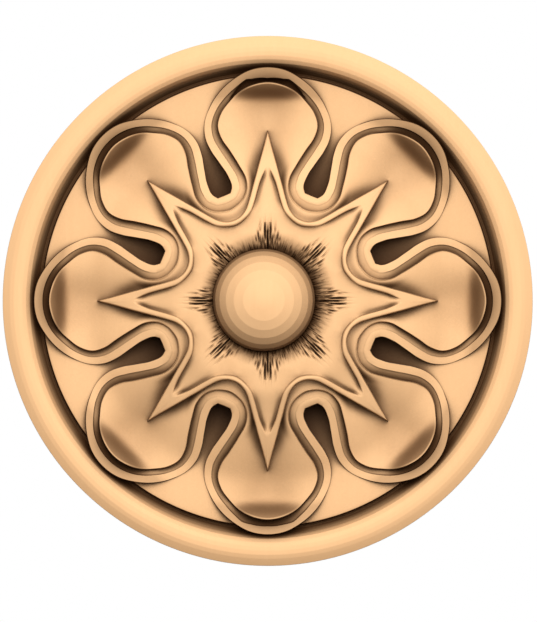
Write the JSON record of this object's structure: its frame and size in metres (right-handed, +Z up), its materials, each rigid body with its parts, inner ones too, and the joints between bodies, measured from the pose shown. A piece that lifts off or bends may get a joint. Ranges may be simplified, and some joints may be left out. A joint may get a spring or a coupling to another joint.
{
  "type": "sunburst rosette",
  "caption": "Round carved wooden rosette: petals edged by a looping band, a pointed star on them and a domed boss inside a moulded rim; flat back for fixing.",
  "frame": {"origin": "centre of the flat back face, where the rosette meets what it is fixed to", "axes": "+Y out of the back into the surface behind, -Y towards the viewer, +Z up, +X to the right as seen from the front"},
  "size_m": [0.15, 0.0285, 0.15],
  "materials": {
    "carved_wood": "pale fine-grained wood, carved and sanded, satin, darker in the recesses"
  },
  "bodies": {
    "root": {"rosette": "carved_wood"}
  },
  "joints": []
}
